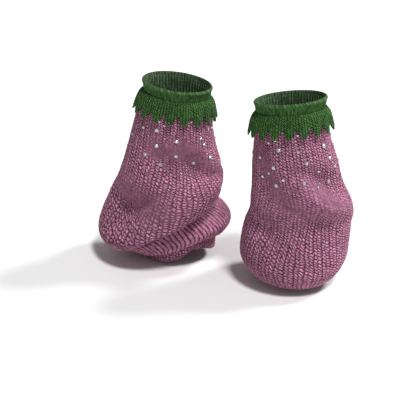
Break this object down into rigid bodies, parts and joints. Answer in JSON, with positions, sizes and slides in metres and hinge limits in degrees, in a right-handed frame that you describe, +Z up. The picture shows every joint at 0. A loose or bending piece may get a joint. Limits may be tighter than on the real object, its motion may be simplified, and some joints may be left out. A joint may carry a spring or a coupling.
{
  "type": "pair of leg warmers",
  "caption": "Pair of slouched pink knitted tubes with green ribbed top bands, pointed leaf frills and small sewn-on crystals, open at top and hem.",
  "frame": {"origin": "centre of the right leg warmer's top rim, where its ribbed band holds on to the calf", "axes": "+X towards the wearer's left leg, +Y towards the heels, +Z up the legs; the toes point to -Y"},
  "size_m": [0.355, 0.1565, 0.2523],
  "materials": {
    "knit_pink": "matt chunky stocking-stitch knit in rose pink acrylic yarn",
    "knit_green": "matt ribbed and fine knit in leaf green acrylic yarn",
    "crystal": "clear faceted crystal with a silvered back"
  },
  "bodies": {
    "root": {"right_top_band": "knit_green", "right_leaf_frill": "knit_green", "right_knit_tube": "knit_pink", "left_top_band": "knit_green", "left_leaf_frill": "knit_green", "left_knit_tube": "knit_pink"}
  },
  "joints": []
}
